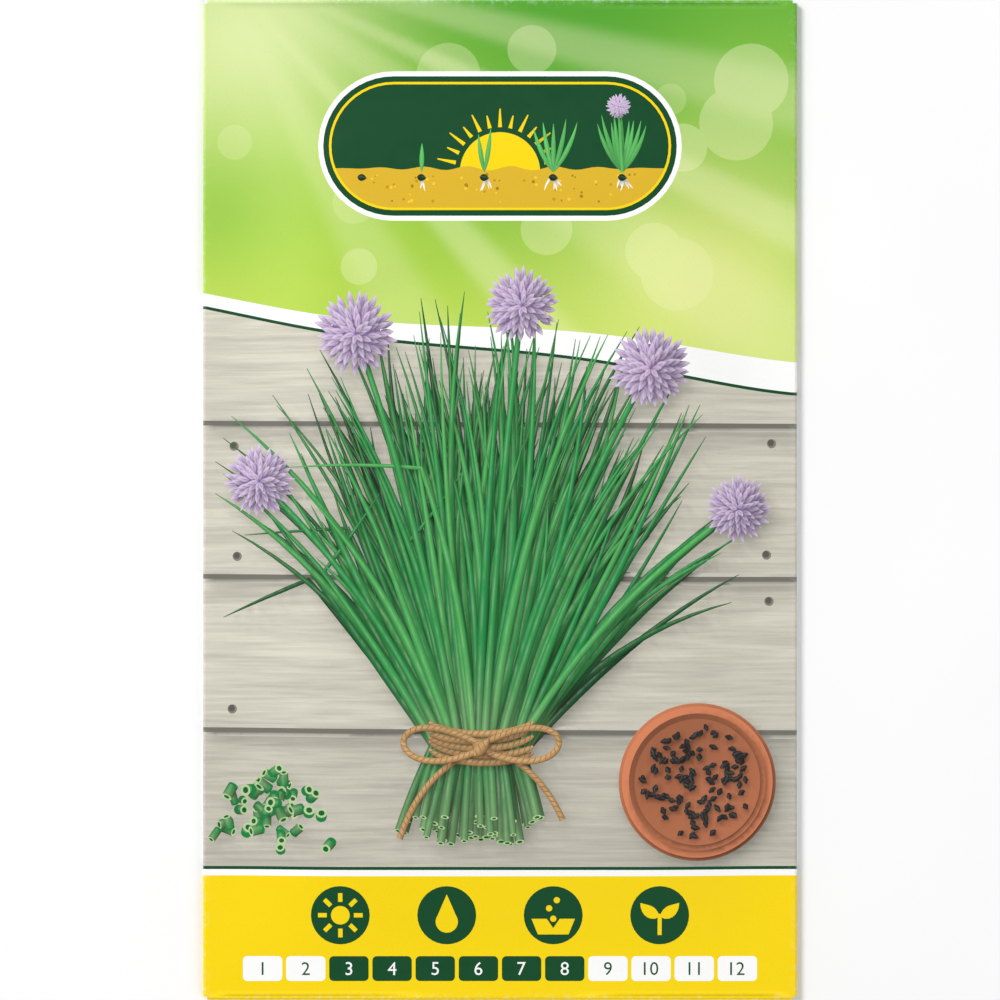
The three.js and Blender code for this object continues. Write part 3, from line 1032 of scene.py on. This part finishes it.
def inside_only(points, faces, shape_at):
    """The triangles inside the sheet, and which shape shows on each."""
    owner = np.array([shape_at(x, y) for x, y in points[faces].mean(1)])
    a, b, c = (points[faces[:, k]] for k in range(3))
    keep = (owner >= 0) & (np.cross(b - a, c - a) > 1e-9)
    return faces[keep], owner[keep]


def build_envelope(printed, plain):
    """The whole printed sheet, folded, as one closed mesh."""
    art = draw_print()
    cut_points, cut_faces, cut_owner = top_shapes(art)
    shape_at = shape_finder(cut_points, cut_faces, cut_owner)
    edges = seen_edges(cut_points, cut_faces, [art.paints[k] for k in cut_owner])
    uv, faces = cut_sheet(edges, cut_points, lattice(1.0, 2.6))
    faces, owner = inside_only(uv, faces, shape_at)
    looks = corner_looks(art, uv, faces, owner, Shadows(shape_at, art))

    ring = rim_loop(faces)
    ring_edges = [(k, (k + 1) % len(ring)) for k in range(len(ring))]
    back_uv, back_faces = cut_sheet(ring_edges, uv[ring], lattice(2.5, 2.6))
    back_faces = inside_only(back_uv, back_faces, shape_at)[0][:, ::-1]
    lookup = {tuple(p): k for k, p in enumerate(np.round(back_uv, 5).tolist())}
    under_ring = [len(uv) + lookup[tuple(p)] for p in np.round(uv[ring], 5).tolist()]
    rims = [(ring[b], ring[a], under_ring[a], under_ring[b]) for a, b in ring_edges]

    normals = np.concatenate([fold_normals(uv), fold_normals(back_uv)])
    normals[len(uv):] *= -1
    places = (np.concatenate([fold(uv), fold(back_uv)]) + normals * PAPER / 2) * MM
    mesh = bpy.data.meshes.new("envelope")
    mesh.from_pydata(places.tolist(), [], faces.tolist() + (back_faces + len(uv)).tolist() + rims)
    mesh.materials.append(printed)
    mesh.materials.append(plain)
    slots = [0] * len(faces) + [1] * (len(back_faces) + len(rims))
    mesh.polygons.foreach_set("material_index", slots)
    mesh.polygons.foreach_set("use_smooth", [True] * len(slots))

    a, b, _, d = places[np.array(rims).T]
    rim_normals = np.repeat(unit(np.cross(b - a, d - a)), 4, axis=0)
    inner = back_faces.ravel()
    loops = [normals[faces.ravel()], normals[inner + len(uv)], rim_normals]
    mesh.normals_split_custom_set(np.concatenate(loops).tolist())
    spare = np.zeros((len(inner) + len(rim_normals), 4))
    for name, values in zip(("ink", "form"), looks):
        layer = mesh.color_attributes.new(name, "FLOAT_COLOR", "CORNER")
        layer.data.foreach_set("color", np.concatenate([values.reshape(-1, 4), spare]).ravel())
    # the plain inside goes on the map too: small, in an empty corner
    small = back_uv[inner] * 0.085 + (74.0, -91.0)
    flat = np.concatenate([uv[faces.ravel()], small, rim_map(uv[ring])])
    square = (flat - MAP_MIDDLE + MAP_HALF) / (2 * MAP_HALF)
    mesh.uv_layers.new(name="OFBake").data.foreach_set("uv", square.ravel())
    return place_object("printed_envelope", mesh)


def rim_map(ring):
    """Where the cut edges go on the map: short rows in another empty corner."""
    out = []
    run = 0.0
    for length in 0.2 * np.linalg.norm(np.roll(ring, -1, axis=0) - ring, axis=1):
        x = -100.0 + run % 48
        y = -99.0 + 3.0 * (run // 48)
        out += [(x + length, y), (x, y), (x, y + 1.5), (x + length, y + 1.5)]
        run += length
    return np.array(out)


# Materials


class Nodes:
    """Short calls for building the nodes of a material, or of the world."""

    def __init__(self, name, owners=bpy.data.materials):
        self.owner = owners.new(name)
        self.owner.use_nodes = True
        self.tree = self.owner.node_tree

    def node(self, kind, inputs=(), **settings):
        """Adds a node with these settings, and its first inputs, or those named, set to inputs."""
        made = self.tree.nodes.new(kind)
        for key, value in settings.items():
            setattr(made, key, value)
        pairs = inputs.items() if isinstance(inputs, dict) else enumerate(inputs)
        for key, value in pairs:
            self.set(made.inputs[key], value)
        return made

    def set(self, socket, value):
        """Sets a socket to a number or colour, or links it to another node's output."""
        if isinstance(value, bpy.types.NodeSocket):
            self.tree.links.new(value, socket)
        else:
            socket.default_value = (*value, 1) if socket.type == "RGBA" else value

    def surface(self, **values):
        """Sets inputs of the surface shader, named with _ for a space. Gives the material."""
        shader = self.tree.nodes["Principled BSDF"]
        for key, value in values.items():
            self.set(shader.inputs[key.replace("_", " ")], value)
        return self.owner

    def math(self, operation, *values):
        return self.node("ShaderNodeMath", values, operation=operation).outputs[0]

    def times(self, first, *others):
        for other in others:
            first = self.math("MULTIPLY", first, other)
        return first

    def mix(self, share, a, b, blend="MIX"):
        """Two colours: the node's inputs 6 and 7, and its output 2."""
        values = {0: share, 6: a, 7: b}
        return self.node("ShaderNodeMix", values, data_type="RGBA", blend_type=blend).outputs[2]

    def shaded(self, colour, share, full=(1.0, 1.0, 1.0)):
        """The colour times a share of full."""
        return self.mix(1.0, colour, self.mix(share, (0.0, 0.0, 0.0), full), "MULTIPLY")

    def attribute(self, name):
        return self.node("ShaderNodeAttribute", attribute_name=name).outputs

    def scaled(self, place, scale):
        made = self.node("ShaderNodeMapping", {"Vector": place, "Scale": scale})
        return made.outputs[0]

    def flat_place(self, *scale):
        """Place on the flat sheet, in mm, with a scale across it and one along it."""
        source = self.node("ShaderNodeUVMap", uv_map="OFBake")
        return self.scaled(source.outputs["UV"], [2 * MAP_HALF * s for s in (*scale, 1)])

    def object_place(self, scale):
        """Place in the object, in mm, scaled."""
        source = self.node("ShaderNodeTexCoord")
        return self.scaled(source.outputs["Object"], [scale / MM] * 3)

    def noise(self, place, detail, roughness=0.5, distortion=0.0):
        values = {"Vector": place, "Scale": 1.0, "Detail": detail, "Roughness": roughness,
                  "Distortion": distortion}
        return self.node("ShaderNodeTexNoise", values).outputs["Fac"]

    def remap(self, *values):
        """A value, taken from between the next two numbers to between the last two."""
        return self.node("ShaderNodeMapRange", values).outputs[0]

    def bump(self, height, distance, strength, normal=None):
        values = {"Strength": strength, "Distance": distance * MM, "Height": height}
        if normal is not None:
            values["Normal"] = normal
        return self.node("ShaderNodeBump", values).outputs[0]


def paper_relief(n):
    """Bump of coated paper: faint fibres under the coating."""
    fibres = n.noise(n.object_place(1.7), 5, 0.62)
    tooth = n.noise(n.object_place(9), 2)
    return n.bump(tooth, 0.004, 0.35, n.bump(fibres, 0.02, 0.30))


def rounded_forms(n, ink):
    """The ink with the shading of the drawn forms: dark towards their edges, lit towards the
    light, and with a broken gleam along their crests."""
    split = n.node("ShaderNodeSeparateXYZ", [n.attribute("form")["Vector"]])
    across, facing, roundness = split.outputs
    edge = n.math("POWER", n.math("ABSOLUTE", across), 2.2)
    shade = n.math("SUBTRACT", 1.0, n.times(edge, 0.46, roundness))
    away = n.math("SUBTRACT", 0.2, n.times(across, facing))
    shade = n.math("SUBTRACT", shade, n.times(away, 0.26, roundness))
    off_crest = n.math("DIVIDE", n.math("SUBTRACT", across, n.times(facing, 0.36)), 0.3)
    gleam = n.math("EXPONENT", n.times(off_crest, off_crest, -1.0))
    streak = n.remap(n.noise(n.flat_place(0.9, 0.22), 3, 0.6), 0.35, 0.7, 0.05, 0.38)
    gleam_colour = n.mix(0.42, ink, (0.92, 1.0, 0.80))
    return n.mix(n.times(gleam, streak, roundness), n.shaded(ink, shade), gleam_colour)


def weathered(n, colour):
    """The colour with streaks along the boards, and a few darker flaws."""
    streaks = n.noise(n.flat_place(0.06, 1.5), 6, 0.62, 0.4)
    flaws = n.noise(n.flat_place(0.03, 0.34), 3, 0.6, 1.0)
    lines = n.times(n.remap(streaks, 0.3, 0.72, 0.80, 1.08), n.remap(flaws, 0.35, 0.7, 0.86, 1.04))
    return n.shaded(colour, lines, (1.0, 0.985, 0.955))


def printed_paper():
    """Coated paper with the print on it, its ink uneven, and rubbed off where it is folded."""
    n = Nodes("printed_paper")
    ink = n.attribute("ink")
    colour = rounded_forms(n, ink["Color"])
    colour = n.mix(ink["Alpha"], colour, weathered(n, colour))
    mottle = n.remap(n.noise(n.flat_place(2.6, 2.6), 3, 0.6), 0.3, 0.7, 0.97, 1.03)
    rub = n.noise(n.flat_place(0.9, 0.9), 5, 0.7)
    rubbed = n.times(n.remap(rub, 0.50, 0.68, 0.0, 0.50), n.attribute("form")["Alpha"])
    gloss = n.remap(n.noise(n.flat_place(0.35, 0.35), 4, 0.6), 0.3, 0.7, 0.40, 0.50)
    return n.surface(
        Base_Color=n.mix(rubbed, n.shaded(colour, mottle), BARE_PAPER),
        Roughness=n.math("ADD", gloss, n.times(rubbed, 0.3)),
        Specular_IOR_Level=0.28,
        Normal=paper_relief(n),
    )


def grained(name, scale, noise, colours, roughness, relief):
    """A material whose colour, roughness and relief follow one noise."""
    n = Nodes(name)
    grain = n.noise(n.object_place(scale), *noise)
    return n.surface(
        Base_Color=n.mix(n.remap(grain, 0.3, 0.7, 0.0, 1.0), *colours),
        Roughness=n.remap(grain, 0.3, 0.7, *roughness),
        Normal=n.bump(grain, *relief),
    )


def plain_paper():
    """The uncoated inside of the sheet and its cut edges."""
    colours = (0.76, 0.75, 0.71), (0.86, 0.85, 0.82)
    return grained("plain_paper", 1.4, (6, 0.65, 0.6), colours, (0.82, 0.95), (0.02, 0.5))


def dried_glue():
    colours = (0.62, 0.54, 0.37), (0.80, 0.75, 0.60)
    return grained("dried_glue", 0.5, (4, 0.55), colours, (0.32, 0.55), (0.03, 0.6))


def foil_laminate():
    """Satin foil with the fine cross ribs of a heat seal."""
    n = Nodes("foil_laminate")
    creases = n.noise(n.object_place(0.16), 6, 0.6, 1.2)
    ribs = n.node("ShaderNodeTexWave", {"Vector": n.object_place(1), "Scale": 0.32}, bands_direction="Y")
    return n.surface(
        Base_Color=n.mix(n.remap(creases, 0.3, 0.7, 0.0, 1.0), (0.50, 0.51, 0.53), (0.70, 0.71, 0.72)),
        Metallic=0.85,
        Roughness=n.remap(creases, 0.3, 0.7, 0.28, 0.46),
        Normal=n.bump(ribs.outputs["Fac"], 0.03, 0.5, n.bump(creases, 0.2, 0.7)),
    )


def seed_coat():
    colours = (0.006, 0.005, 0.005), (0.035, 0.030, 0.028)
    return grained("seed_coat", 1.8, (5, 0.65, 0.8), colours, (0.55, 0.8), (0.12, 0.8))


def floor_material():
    n = Nodes("floor")
    specks = n.remap(n.noise(n.object_place(0.02), 3), 0.3, 0.7, 0.0, 1.0)
    colour = n.mix(specks, (0.93, 0.93, 0.93), (0.95, 0.95, 0.95))
    return n.surface(Base_Color=colour, Roughness=0.9, Specular_IOR_Level=0.2)


# The studio


def place_object(name, data, place=(0, 0, 0)):
    made = bpy.data.objects.new(name, data)
    made.location = place
    bpy.context.scene.collection.objects.link(made)
    return made


def add_floor():
    mesh = bpy.data.meshes.new("floor")
    corners = rectangle(-FLOOR_HALF, -FLOOR_HALF, FLOOR_HALF, FLOOR_HALF)
    mesh.from_pydata([(*corner, -FLOOR_GAP) for corner in corners], [], [(0, 1, 2, 3)])
    mesh.materials.append(floor_material())
    floor = place_object("floor", mesh)


def add_light(name, place, size, power):
    """A round lamp that points at the packet."""
    data = bpy.data.lights.new(name, "AREA")
    data.shape = "DISK"
    data.size = size
    data.energy = power
    light = place_object(name, data, place)
    light.rotation_euler = (-Vector(place)).to_track_quat("-Z", "Y").to_euler()


def add_studio():
    """A white room, brighter low down than overhead, with two lamps."""
    n = Nodes("studio", bpy.data.worlds)
    up = n.node("ShaderNodeSeparateXYZ", [n.node("ShaderNodeTexCoord").outputs["Generated"]]).outputs["Z"]
    background = n.tree.nodes["Background"].inputs
    n.set(background["Color"], (1.0, 1.0, 1.0))
    n.set(background["Strength"], n.remap(up, 0.35, 0.95, 0.70, 0.27))
    bpy.context.scene.world = n.owner
    add_light("key", (-0.95, 0.75, 0.95), 0.6, 18.5)
    add_light("fill", (0.9, -0.5, 0.9), 0.9, 4.0)
    bpy.context.scene.view_settings.view_transform = "Standard"


def add_camera():
    """Straight above the packet, whose height fills the frame."""
    data = bpy.data.cameras.new("camera")
    data.sensor_width = 36.0
    data.lens = 150.0
    distance = HEIGHT * data.lens / data.sensor_width
    bpy.context.scene.camera = place_object("camera", data, (0, 0, (distance + EDGE_LEVEL) * MM))


def dress_node(name, material):
    """Gives a CAD node that stays a finished material."""
    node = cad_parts[name]
    for slot in node.material_slots:
        slot.material = material
    if not node.material_slots:
        node.data.materials.append(material)


envelope = build_envelope(printed_paper(), plain_paper())
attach(envelope, "root")
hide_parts("paper_envelope")

glue = dried_glue()
for glue_node in ("back_seam_glue", "top_flap_glue", "bottom_flap_glue"):
    dress_node(glue_node, glue)
foil = foil_laminate()
for web_node in ("sachet_back_web", "sachet_front_web"):
    dress_node(web_node, foil)
dress_node("seeds", seed_coat())

add_floor()
add_studio()
add_camera()
